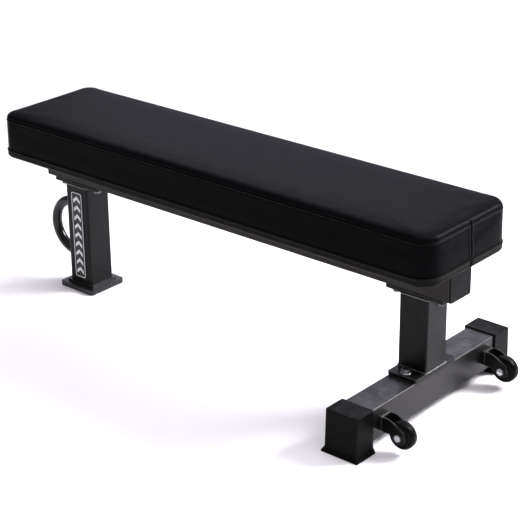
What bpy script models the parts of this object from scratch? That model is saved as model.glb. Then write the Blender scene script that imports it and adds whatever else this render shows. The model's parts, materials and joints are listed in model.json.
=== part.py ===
"""Flat weight bench with a T-shaped rear base, a carry handle and two transport casters.

+X runs along the bench towards the T-base, +Y is the left side, +Z is up.
The floor is z = 0, and the origin is at the middle of the bench's footprint box.
Front means the handle end. All sizes are in metres.
"""

import math

import bmesh
import bpy
from mathutils import Matrix, Vector

# ---------------------------------------------------------------- driving dimensions

GAP = 0.0003                 # clearance between pieces that touch

# pad
PAD_LENGTH = 1.200
PAD_WIDTH = 0.280
PAD_TOP = 0.443              # seat height
PAD_CORNER = 0.040           # plan radius of the corners
PAD_EDGE = 0.010             # rounding of the long edges
BOARD_THICK = 0.018
BOARD_INSET = 0.007          # cover and hem beside the board
DUST_COVER_THICK = 0.001

# steel tube shared by the backbone, the posts and the cross tube
TUBE = 0.070
TUBE_WALL = 0.003
TUBE_CORNER = 0.004

# heights
BACKBONE_BOTTOM = 0.269
CROSS_BOTTOM = 0.0205
TOP_PLATE_THICK = 0.0063
BASE_PLATE_THICK = 0.008

# places along the bench, measured from the pad's middle
BACKBONE_FRONT = -0.569
BACKBONE_REAR = 0.582
CAP_FLANGE = 0.0045
FRONT_POST_X = -0.475
REAR_POST_X = 0.495
CASTER_AXLE_X = 0.582

# plates and their bolts
TOP_PLATE_LENGTH = 0.142
TOP_BOLT_X = 0.053
TOP_BOLT_Y = 0.018
BASE_PLATE_LENGTH = 0.140
BASE_BOLT_Y = 0.054

# rear rubber boots
BOOT_OUTER_Y = 0.273
BOOT_LENGTH = 0.0604
BOOT_HALF_WIDTH = 0.045
BOOT_TOP_HALF_WIDTH = 0.039
BOOT_TOP_RISE = 0.0035
BOOT_FLARE = 0.0055
BOOT_FLARE_HEIGHT = 0.012
BOOT_RIM = 0.003
BOOT_END_TAPER = 0.003
BOOT_END_WALL = 0.006
BOOT_ROUNDING = 0.003

# front foot
FOOT_SIZE = 0.108
FOOT_HEIGHT = 0.012
COLLAR_SIZE = 0.084
COLLAR_TOP = 0.018
FOOT_SOLE = 0.004
FOOT_PLATE_SIZE = 0.092
FOOT_PLATE_THICK = 0.006

# carry handle: an arc of round bar
HANDLE_BAR = 0.024
HANDLE_RADIUS = 0.064
HANDLE_STANDOFF = 0.013      # arc centre from the post's face
HANDLE_Z = 0.138
HANDLE_REACH = math.radians(116)   # the arc runs this far up and down from its outermost point
HANDLE_STEPS = 24

# label on the front post
LABEL_WIDTH = 0.038
LABEL_BOTTOM = 0.027
LABEL_TOP = 0.247
LABEL_THICK = 0.0008

# transport casters
CASTER_Y = 0.181
AXLE_Z = 0.043
WHEEL_RADIUS = 0.029
WHEEL_WIDTH = 0.022
TYRE_INNER_RADIUS = 0.0175
TYRE_SHOULDER = 0.007
FORK_OUTER_WIDTH = 0.030
FORK_SHEET = 0.003
FORK_EYE_RADIUS = 0.015
BLOCK_THICK = 0.0095
BLOCK_BOTTOM = 0.043
BLOCK_TOP = 0.0745
NUT_HEIGHT = 0.0068
HUB_PROUD = 0.0004           # the hub stands this far past the tyre
AXLE_RADIUS = 0.004
SLEEVE_RADIUS = 0.0055

# washers of the base bolts
WASHER_RADIUS = 0.012
WASHER_BORE = 0.0065
WASHER_THICK = 0.0022

# pad brackets
BRACKET_X = 0.380
BRACKET_LENGTH = 0.050
BRACKET_REACH = 0.062
BRACKET_THICK = 0.005
BRACKET_BOLT_Y = 0.078

BOLT_HOLE_ROOM = 2 * GAP     # a bolt's hole is this much wider in radius
DRILL_LENGTH = 0.020         # drills and trims run well past the piece they cut
SLOT_LENGTH = 0.100

# the bolt sizes: shank radius, width across flats, head height
M6 = (0.003, 0.010, 0.004)
M8 = (0.004, 0.013, 0.0055)
M10 = (0.005, 0.016, 0.007)
M12 = (0.006, 0.019, 0.0078)

# ---------------------------------------------------------------- derived places

# the origin sits at the middle between the pad's front end and the wheels' rear edge
SHIFT_X = -(CASTER_AXLE_X + WHEEL_RADIUS - PAD_LENGTH / 2) / 2
BACKBONE_TOP = BACKBONE_BOTTOM + TUBE
PAD_BOTTOM = BACKBONE_TOP + GAP
CROSS_TOP = CROSS_BOTTOM + TUBE
POST_TOP = BACKBONE_BOTTOM - GAP - TOP_PLATE_THICK - GAP
CROSS_FACE_X = REAR_POST_X + TUBE / 2
TUBE_END_Y = BOOT_OUTER_Y - BOOT_FLARE - BOOT_END_TAPER - BOOT_END_WALL
HALF = TUBE / 2

SIDES = {"right": -1, "left": 1}
ENDS = {"front": -1, "rear": 1}

# ---------------------------------------------------------------- scene set-up

for old in list(bpy.data.objects):
    bpy.data.objects.remove(old)

bench = bpy.data.collections.new("weight_bench")
cutters = bpy.data.collections.new("cutters")
bpy.context.scene.collection.children.link(bench)
bpy.context.scene.collection.children.link(cutters)


def material(name, colour, roughness, metallic=0.0):
    """A Principled BSDF material."""
    made = bpy.data.materials.new(name)
    made.use_nodes = True
    shader = made.node_tree.nodes["Principled BSDF"]
    shader.inputs["Base Color"].default_value = (*colour, 1.0)
    shader.inputs["Roughness"].default_value = roughness
    shader.inputs["Metallic"].default_value = metallic
    return made


FINISHES = {
    "vinyl": ((0.018, 0.018, 0.021), 0.45, 0.0),
    "plywood": ((0.50, 0.36, 0.22), 0.75, 0.0),
    "dust_cloth": ((0.02, 0.02, 0.02), 0.95, 0.0),
    "black_paint": ((0.030, 0.027, 0.030), 0.42, 0.1),
    "rubber": ((0.028, 0.028, 0.032), 0.62, 0.0),
    "plastic": ((0.024, 0.023, 0.025), 0.45, 0.0),
    "zinc": ((0.72, 0.73, 0.75), 0.25, 1.0),
    "dark_zinc": ((0.10, 0.10, 0.11), 0.35, 0.9),
    "label": ((0.02, 0.02, 0.02), 0.35, 0.0),
}


def place(name, mesh, finish, location=(0, 0, 0), smooth=False):
    """A part of the bench: own material, place measured from the pad's middle."""
    part = bpy.data.objects.new(name, mesh)
    part.location = Vector(location) + Vector((SHIFT_X, 0, 0))
    bench.objects.link(part)
    mesh.materials.clear()
    mesh.materials.append(material(name, *FINISHES[finish]))
    if smooth:
        mesh.shade_smooth()
        mesh.set_sharp_from_angle(angle=math.radians(35))
    return part


def hide_as_cutter(name, mesh, location=(0, 0, 0)):
    """A guide that only cuts or joins."""
    guide = bpy.data.objects.new(name, mesh)
    guide.location = Vector(location) + Vector((SHIFT_X, 0, 0))
    guide.hide_render = True
    guide.display_type = "WIRE"
    cutters.objects.link(guide)
    return guide


def boolean(part, guide, operation="DIFFERENCE"):
    """One exact Boolean on a part."""
    step = part.modifiers.new(operation.lower(), "BOOLEAN")
    step.operation = operation
    step.solver = "EXACT"
    step.object = guide


def round_edges(part, width, segments=2, angle=40):
    """Small rounding on the sharp edges of a part."""
    step = part.modifiers.new("rounding", "BEVEL")
    step.width = width
    step.segments = segments
    step.limit_method = "ANGLE"
    step.angle_limit = math.radians(angle)


# ---------------------------------------------------------------- shape helpers


def rounded_rectangle(width, height, radius, steps=4):
    """Outline points of a rectangle with round corners, anticlockwise."""
    points = []
    for quarter in range(4):
        middle_x = (width / 2 - radius) * (1 if quarter in (0, 3) else -1)
        middle_y = (height / 2 - radius) * (1 if quarter in (0, 1) else -1)
        for step in range(steps + 1):
            turn = math.pi / 2 * (quarter + step / steps)
            points.append((middle_x + radius * math.cos(turn), middle_y + radius * math.sin(turn)))
    return points


def extrusion(name, outlines, depth, turn=None):
    """A closed mesh from flat outlines, pushed to half the depth each way along local Z.

    A second outline inside the first is a hole. turn is a matrix for the finished mesh.
    """
    shape = bpy.data.curves.new(name, "CURVE")
    shape.dimensions = "2D"
    shape.fill_mode = "BOTH"
    shape.extrude = depth / 2
    for outline in outlines:
        spline = shape.splines.new("POLY")
        spline.points.add(len(outline) - 1)
        for point, (x, y) in zip(spline.points, outline):
            point.co = (x, y, 0, 1)
        spline.use_cyclic_u = True
    return curve_to_mesh(shape, turn)


def curve_to_mesh(shape, turn=None):
    """A welded mesh of a curve with filled caps."""
    holder = bpy.data.objects.new(shape.name, shape)
    bench.objects.link(holder)
    bpy.context.view_layer.update()
    mesh = bpy.data.meshes.new_from_object(holder.evaluated_get(bpy.context.evaluated_depsgraph_get()))
    bpy.data.objects.remove(holder)
    work = bmesh.new()
    work.from_mesh(mesh)
    bmesh.ops.remove_doubles(work, verts=work.verts, dist=0.00001)
    bmesh.ops.recalc_face_normals(work, faces=work.faces)
    if turn:
        bmesh.ops.transform(work, matrix=turn, verts=work.verts)
    work.to_mesh(mesh)
    work.free()
    return mesh


def block(name, size, centre=(0, 0, 0)):
    """A box mesh of the given size about a centre."""
    mesh = bpy.data.meshes.new(name)
    work = bmesh.new()
    bmesh.ops.create_cube(work, size=1.0)
    bmesh.ops.scale(work, vec=size, verts=work.verts)
    bmesh.ops.translate(work, vec=centre, verts=work.verts)
    work.to_mesh(mesh)
    work.free()
    return mesh


def round_bars(name, radius, length, centres, axis="Z", segments=12):
    """One mesh of equal cylinders along an axis, for drilling a row of holes."""
    turns = {"X": Matrix.Rotation(math.pi / 2, 4, "Y"), "Y": Matrix.Rotation(math.pi / 2, 4, "X"),
             "Z": Matrix.Identity(4)}
    mesh = bpy.data.meshes.new(name)
    work = bmesh.new()
    for centre in centres:
        bmesh.ops.create_cone(work, cap_ends=True, segments=segments, radius1=radius, radius2=radius,
                              depth=length, matrix=Matrix.Translation(centre) @ turns[axis])
    work.to_mesh(mesh)
    work.free()
    return mesh


def drill(part, radius, length, centres, axis="Z"):
    """Round holes through a part, at places measured from the pad's middle."""
    name = part.name + "_holes"
    boolean(part, hide_as_cutter(name, round_bars(name, radius, length, centres, axis)))


def turned(name, profile, closed=False, segments=32, turn=None):
    """A turned mesh about local Z from (radius, z) points that run down the outer side."""
    mesh = bpy.data.meshes.new(name)
    edges = [(i, i + 1) for i in range(len(profile) - 1)]
    if closed:
        edges.append((len(profile) - 1, 0))
    mesh.from_pydata([(radius, 0, z) for radius, z in profile], edges, [])
    holder = bpy.data.objects.new(name, mesh)
    bench.objects.link(holder)
    spin = holder.modifiers.new("spin", "SCREW")
    spin.steps = segments
    spin.render_steps = segments
    spin.use_merge_vertices = True
    spin.merge_threshold = 0.00001
    bpy.context.view_layer.update()
    made = bpy.data.meshes.new_from_object(holder.evaluated_get(bpy.context.evaluated_depsgraph_get()))
    bpy.data.objects.remove(holder)
    if turn:
        made.transform(turn)
    return made


def hex_prism(name, across_flats, height, bottom):
    """A hexagonal prism standing on local z = bottom."""
    mesh = bpy.data.meshes.new(name)
    work = bmesh.new()
    corner = across_flats / 2 / math.cos(math.pi / 6)
    lift = Matrix.Translation((0, 0, bottom + height / 2))
    bmesh.ops.create_cone(work, cap_ends=True, segments=6, radius1=corner, radius2=corner,
                          depth=height, matrix=lift)
    work.to_mesh(mesh)
    work.free()
    return mesh


def finished_mesh(part):
    """The part's mesh with its modifiers applied, for copies of it."""
    bpy.context.view_layer.update()
    return bpy.data.meshes.new_from_object(part.evaluated_get(bpy.context.evaluated_depsgraph_get()))


def bolt_mesh(name, size, length, flange=0.0):
    """A hexagon bolt: head above local z = 0, shank below it, an optional flange under the head."""
    shank, flats, head = size
    base = bpy.data.objects.new(name, hex_prism(name, flats, head, 0.0 if not flange else flange))
    bench.objects.link(base)
    rim = flats * 0.68 if flange else shank
    overlap = flange + head / 2
    profile = [(0, overlap), (shank, overlap), (shank, flange), (rim, flange * 0.6), (rim, 0), (shank, 0)]
    if not flange:
        profile = [(0, overlap), (shank, overlap)]
    profile += [(shank, -length + 0.001), (shank - 0.001, -length), (0, -length)]
    stem = hide_as_cutter(name + "_stem", turned(name + "_stem", profile, segments=12))
    base.location = stem.location
    boolean(base, stem, "UNION")
    mesh = finished_mesh(base)
    bpy.data.objects.remove(base)
    bpy.data.objects.remove(stem)
    return mesh


def square_tube(name, length, axis, location, corner=TUBE_CORNER):
    """A length of the square steel tube along an axis, open at both ends."""
    outer = rounded_rectangle(TUBE, TUBE, corner)
    bore = TUBE - 2 * TUBE_WALL
    inner = rounded_rectangle(bore, bore, 0.001 + corner - TUBE_WALL, steps=2)
    turns = {"X": Matrix.Rotation(math.pi / 2, 4, "Y"), "Y": Matrix.Rotation(math.pi / 2, 4, "X"), "Z": None}
    return place(name, extrusion(name, [outer, inner], length, turns[axis]), "black_paint", location)


# ---------------------------------------------------------------- pad


def make_pad():
    """Foam pad in its cover, the plywood board in its underside and the dust cloth under that."""
    height = PAD_TOP - PAD_BOTTOM
    outline = rounded_rectangle(PAD_LENGTH, PAD_WIDTH, PAD_CORNER, steps=8)
    cushion = place("pad_cushion", extrusion("pad_cushion", [outline], height), "vinyl",
                    (0, 0, PAD_BOTTOM + height / 2), smooth=True)
    round_edges(cushion, PAD_EDGE, segments=3, angle=60)

    board_length = PAD_LENGTH - 2 * BOARD_INSET
    board_width = PAD_WIDTH - 2 * BOARD_INSET
    pocket_depth = DUST_COVER_THICK + GAP + BOARD_THICK + GAP
    pocket = rounded_rectangle(board_length + 2 * GAP, board_width + 2 * GAP, PAD_CORNER - BOARD_INSET, steps=4)
    boolean(cushion, hide_as_cutter("pad_pocket", extrusion("pad_pocket", [pocket], 2 * pocket_depth),
                                    (0, 0, PAD_BOTTOM)))

    board_outline = rounded_rectangle(board_length, board_width, PAD_CORNER - BOARD_INSET - GAP, steps=4)
    board_z = PAD_BOTTOM + DUST_COVER_THICK + GAP + BOARD_THICK / 2
    board = place("pad_board", extrusion("pad_board", [board_outline], BOARD_THICK), "plywood", (0, 0, board_z))
    sheet = extrusion("pad_dust_cover", [board_outline], DUST_COVER_THICK)
    cloth = place("pad_dust_cover", sheet, "dust_cloth", (0, 0, PAD_BOTTOM + DUST_COVER_THICK / 2))
    screws = [(end * BRACKET_X, side * BRACKET_BOLT_Y, PAD_BOTTOM) for end in (-1, 1) for side in (-1, 1)]
    drill(board, M8[0] + BOLT_HOLE_ROOM, BOARD_THICK + DRILL_LENGTH, screws)
    drill(cloth, M8[0] + BOLT_HOLE_ROOM, DRILL_LENGTH, screws)


def make_brackets():
    """Four flat tabs beside the backbone, each with a bolt up into the board."""
    bolt = bolt_mesh("pad_bolt", M8, 0.0165, flange=0.0015)
    flip = Matrix.Rotation(math.pi, 4, "X")
    for end, end_sign in ENDS.items():
        for side, side_sign in SIDES.items():
            x = end_sign * BRACKET_X
            y = side_sign * (HALF + GAP + BRACKET_REACH / 2)
            z = BACKBONE_TOP - BRACKET_THICK / 2
            name = f"pad_bracket_{end}_{side}"
            outline = rounded_rectangle(BRACKET_LENGTH, BRACKET_REACH, 0.008, steps=3)
            tab = place(name, extrusion(name, [outline], BRACKET_THICK), "black_paint", (x, y, z))
            bolt_y = side_sign * BRACKET_BOLT_Y
            drill(tab, M8[0] + BOLT_HOLE_ROOM, DRILL_LENGTH, [(x, bolt_y, z)])
            screw = bolt.copy()
            screw.transform(flip)
            place(f"pad_bolt_{end}_{side}", screw, "dark_zinc",
                  (x, bolt_y, BACKBONE_TOP - BRACKET_THICK - GAP), smooth=True)


# ---------------------------------------------------------------- backbone


def top_bolt_places(post_x, z):
    """The four bolts that hold a post's top plate to the backbone."""
    return [(post_x + along * TOP_BOLT_X, across * TOP_BOLT_Y, z) for along in (-1, 1) for across in (-1, 1)]


def make_backbone():
    """The long tube under the pad and its two plastic end caps."""
    front = BACKBONE_FRONT + CAP_FLANGE
    rear = BACKBONE_REAR - CAP_FLANGE
    middle_z = BACKBONE_BOTTOM + HALF
    tube = square_tube("backbone_tube", rear - front, "X", ((front + rear) / 2, 0, middle_z))
    places = top_bolt_places(FRONT_POST_X, BACKBONE_BOTTOM) + top_bolt_places(REAR_POST_X, BACKBONE_BOTTOM)
    drill(tube, M10[0] + BOLT_HOLE_ROOM, DRILL_LENGTH, places)
    bore = TUBE - 2 * TUBE_WALL - 4 * GAP
    turn = Matrix.Rotation(math.pi / 2, 4, "Y")
    for end, sign in ENDS.items():
        name = f"backbone_cap_{end}"
        outer = BACKBONE_REAR if sign > 0 else BACKBONE_FRONT
        flange = extrusion(name, [rounded_rectangle(TUBE, TUBE, TUBE_CORNER)], CAP_FLANGE - GAP, turn)
        cap = place(name, flange, "plastic", (outer - sign * (CAP_FLANGE - GAP) / 2, 0, middle_z), smooth=True)
        round_edges(cap, 0.0015)
        plug = block(name + "_plug", (0.016, bore, bore))
        boolean(cap, hide_as_cutter(name + "_plug", plug, (outer - sign * 0.010, 0, middle_z)), "UNION")


# ---------------------------------------------------------------- posts


def make_top_plate(end, post_x):
    """The plate on top of a post and its four bolts up into the backbone."""
    z = BACKBONE_BOTTOM - GAP - TOP_PLATE_THICK / 2
    name = f"{end}_top_plate"
    outline = rounded_rectangle(TOP_PLATE_LENGTH, TUBE, 0.004, steps=2)
    plate = place(name, extrusion(name, [outline], TOP_PLATE_THICK), "black_paint", (post_x, 0, z))
    places = top_bolt_places(post_x, z)
    drill(plate, M10[0] + BOLT_HOLE_ROOM, DRILL_LENGTH, places)
    under = z - TOP_PLATE_THICK / 2 - GAP
    for number, (x, y, _) in enumerate(places, start=1):
        bolt = bolt_mesh("top_bolt", M10, 0.022, flange=0.002)
        bolt.transform(Matrix.Rotation(math.pi, 4, "X"))
        place(f"top_bolt_{end}_{number}", bolt, "dark_zinc", (x, y, under), smooth=True)


def make_front_leg():
    """Post with its foot plate in a rubber boot, the carry handle and the label."""
    bottom = FOOT_SOLE + GAP + FOOT_PLATE_THICK + GAP
    length = POST_TOP - bottom
    square_tube("front_post", length, "Z", (FRONT_POST_X, 0, bottom + length / 2))
    make_top_plate("front", FRONT_POST_X)

    plate_outline = rounded_rectangle(FOOT_PLATE_SIZE, FOOT_PLATE_SIZE, 0.006, steps=2)
    place("front_foot_plate", extrusion("front_foot_plate", [plate_outline], FOOT_PLATE_THICK), "black_paint",
          (FRONT_POST_X, 0, FOOT_SOLE + GAP + FOOT_PLATE_THICK / 2))

    flange_outline = rounded_rectangle(FOOT_SIZE, FOOT_SIZE, 0.007, steps=3)
    boot = place("front_foot_boot", extrusion("front_foot_boot", [flange_outline], FOOT_HEIGHT), "rubber",
                 (FRONT_POST_X, 0, FOOT_HEIGHT / 2), smooth=True)
    round_edges(boot, 0.0025, angle=60)
    collar_outline = rounded_rectangle(COLLAR_SIZE, COLLAR_SIZE, 0.006, steps=3)
    collar_height = COLLAR_TOP - FOOT_SOLE
    boolean(boot, hide_as_cutter("foot_collar", extrusion("foot_collar", [collar_outline], collar_height),
                                 (FRONT_POST_X, 0, FOOT_SOLE + collar_height / 2)), "UNION")
    pocket_size = FOOT_PLATE_SIZE + 2 * GAP
    pocket = block("foot_pocket", (pocket_size, pocket_size, FOOT_PLATE_THICK + 2 * GAP))
    boolean(boot, hide_as_cutter("foot_pocket", pocket,
                                 (FRONT_POST_X, 0, FOOT_SOLE + FOOT_PLATE_THICK / 2 + GAP)))
    mouth_outline = rounded_rectangle(TUBE + 2 * GAP, TUBE + 2 * GAP, TUBE_CORNER, steps=4)
    mouth_height = 2 * COLLAR_TOP
    boolean(boot, hide_as_cutter("foot_mouth", extrusion("foot_mouth", [mouth_outline], mouth_height),
                                 (FRONT_POST_X, 0, FOOT_SOLE + FOOT_PLATE_THICK + mouth_height / 2)))


def make_handle():
    """Round bar bent to an arc, trimmed flat against the front post."""
    face = FRONT_POST_X - HALF - GAP
    shape = bpy.data.curves.new("carry_handle", "CURVE")
    shape.dimensions = "3D"
    shape.bevel_depth = HANDLE_BAR / 2
    shape.bevel_resolution = 2
    shape.use_fill_caps = True
    spline = shape.splines.new("POLY")
    spline.points.add(HANDLE_STEPS)
    for i, point in enumerate(spline.points):
        turn = HANDLE_REACH * (2 * i / HANDLE_STEPS - 1)
        point.co = (-HANDLE_RADIUS * math.cos(turn), 0, HANDLE_RADIUS * math.sin(turn), 1)
    bar = place("carry_handle", curve_to_mesh(shape), "black_paint",
                (face - HANDLE_STANDOFF, 0, HANDLE_Z), smooth=True)
    trim = block("handle_trim", (TUBE, TUBE, 4 * HANDLE_RADIUS))
    boolean(bar, hide_as_cutter("handle_trim", trim, (face + TUBE / 2, 0, HANDLE_Z)))


def make_label():
    """Thin label on the right face of the front post."""
    height = LABEL_TOP - LABEL_BOTTOM
    outline = rounded_rectangle(LABEL_WIDTH, height, 0.006, steps=4)
    upright = Matrix.Rotation(math.pi / 2, 4, "X")
    place("side_label", extrusion("side_label", [outline], LABEL_THICK, upright), "label",
          (FRONT_POST_X, -HALF - GAP - LABEL_THICK / 2, (LABEL_TOP + LABEL_BOTTOM) / 2))


def base_bolt_places(z):
    """The two bolts that hold the rear post's base plate to the cross tube, one on each side."""
    return [(REAR_POST_X, side_sign * BASE_BOLT_Y, z) for side_sign in SIDES.values()]


def make_rear_leg():
    """Post, its base plate, the bolts and washers, and the cross tube they stand on."""
    bottom = CROSS_TOP + GAP + BASE_PLATE_THICK + GAP
    length = POST_TOP - bottom
    square_tube("rear_post", length, "Z", (REAR_POST_X, 0, bottom + length / 2))
    make_top_plate("rear", REAR_POST_X)

    plate_z = CROSS_TOP + GAP + BASE_PLATE_THICK / 2
    outline = rounded_rectangle(TUBE, BASE_PLATE_LENGTH, 0.004, steps=2)
    plate = place("rear_base_plate", extrusion("rear_base_plate", [outline], BASE_PLATE_THICK), "black_paint",
                  (REAR_POST_X, 0, plate_z))
    drill(plate, M12[0] + BOLT_HOLE_ROOM, DRILL_LENGTH, base_bolt_places(plate_z))

    chamfer = 0.0005
    washer_profile = [(WASHER_RADIUS - chamfer, WASHER_THICK), (WASHER_RADIUS, WASHER_THICK - chamfer),
                      (WASHER_RADIUS, 0), (WASHER_BORE, 0), (WASHER_BORE, WASHER_THICK)]
    seat = CROSS_TOP + GAP + BASE_PLATE_THICK + GAP
    for side, bolt_place in zip(SIDES, base_bolt_places(seat)):
        washer = turned("base_washer", washer_profile, closed=True, segments=20)
        place(f"base_washer_{side}", washer, "zinc", bolt_place, smooth=True)
        above_washer = Vector(bolt_place) + Vector((0, 0, WASHER_THICK + GAP))
        place(f"base_bolt_{side}", bolt_mesh("base_bolt", M12, 0.030), "zinc", above_washer, smooth=True)

    tube_length = 2 * TUBE_END_Y
    cross = square_tube("cross_tube", tube_length, "Y", (REAR_POST_X, 0, CROSS_BOTTOM + HALF))
    drill(cross, M12[0] + BOLT_HOLE_ROOM, DRILL_LENGTH, base_bolt_places(CROSS_TOP))
    screw_places = [(CROSS_FACE_X, side * CASTER_Y, (BLOCK_TOP + BLOCK_BOTTOM) / 2) for side in (-1, 1)]
    caster_drill = round_bars("caster_holes", M6[0] + BOLT_HOLE_ROOM, DRILL_LENGTH, screw_places, "X")
    boolean(cross, hide_as_cutter("caster_holes", caster_drill))


def make_boots():
    """Rubber boots over the ends of the cross tube: a tapered body on a flared base."""
    top = CROSS_TOP + BOOT_TOP_RISE
    for side, sign in SIDES.items():
        name = f"floor_boot_{side}"
        # rings from the floor up: height, half width, inner end, outer end
        body_half = BOOT_HALF_WIDTH - BOOT_FLARE
        inner = BOOT_OUTER_Y - BOOT_LENGTH
        body_outer = BOOT_OUTER_Y - BOOT_FLARE
        rings = [(0, BOOT_HALF_WIDTH, inner, BOOT_OUTER_Y),
                 (BOOT_RIM, BOOT_HALF_WIDTH, inner, BOOT_OUTER_Y),
                 (BOOT_FLARE_HEIGHT, body_half, inner, body_outer),
                 (top, BOOT_TOP_HALF_WIDTH, inner, body_outer - BOOT_END_TAPER)]
        mesh = bpy.data.meshes.new(name)
        work = bmesh.new()
        loops = []
        for z, half, near, far in rings:
            corners = [(-half, near), (half, near), (half, far), (-half, far)]
            loops.append([work.verts.new((x, sign * y, z)) for x, y in corners])
        for lower, upper in zip(loops, loops[1:]):
            for i in range(4):
                j = (i + 1) % 4
                work.faces.new((lower[i], lower[j], upper[j], upper[i]))
        work.faces.new(loops[0])
        work.faces.new(loops[-1])
        bmesh.ops.recalc_face_normals(work, faces=work.faces)
        work.to_mesh(mesh)
        work.free()
        boot = place(name, mesh, "rubber", (REAR_POST_X, 0, 0), smooth=True)
        round_edges(boot, BOOT_ROUNDING, angle=20)
        depth = TUBE_END_Y + GAP - inner
        socket = rounded_rectangle(TUBE + 2 * GAP, TUBE + 2 * GAP, TUBE_CORNER, steps=4)
        past_mouth = depth + DRILL_LENGTH
        guide = extrusion(name + "_socket", [socket], past_mouth, Matrix.Rotation(math.pi / 2, 4, "X"))
        centre_y = sign * (inner - DRILL_LENGTH + past_mouth / 2)
        boolean(boot, hide_as_cutter(name + "_socket", guide, (REAR_POST_X, centre_y, CROSS_BOTTOM + HALF)))


# ---------------------------------------------------------------- casters


def fork_side_outline():
    """Side view of the fork, x from the web's back face and z from the axle."""
    back = CROSS_FACE_X + GAP + BLOCK_THICK + GAP - CASTER_AXLE_X
    top = BLOCK_TOP - AXLE_Z
    low = BLOCK_BOTTOM - AXLE_Z
    points = [(back, low), (-0.022, low)]
    for step in range(13):
        turn = math.radians(200 + 190 * step / 12)
        points.append((FORK_EYE_RADIUS * math.cos(turn), FORK_EYE_RADIUS * math.sin(turn)))
    points += [(0.0110, 0.0140), (-0.0025, 0.0210), (-0.0195, 0.0290), (-0.0290, top), (back, top)]
    return points


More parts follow.
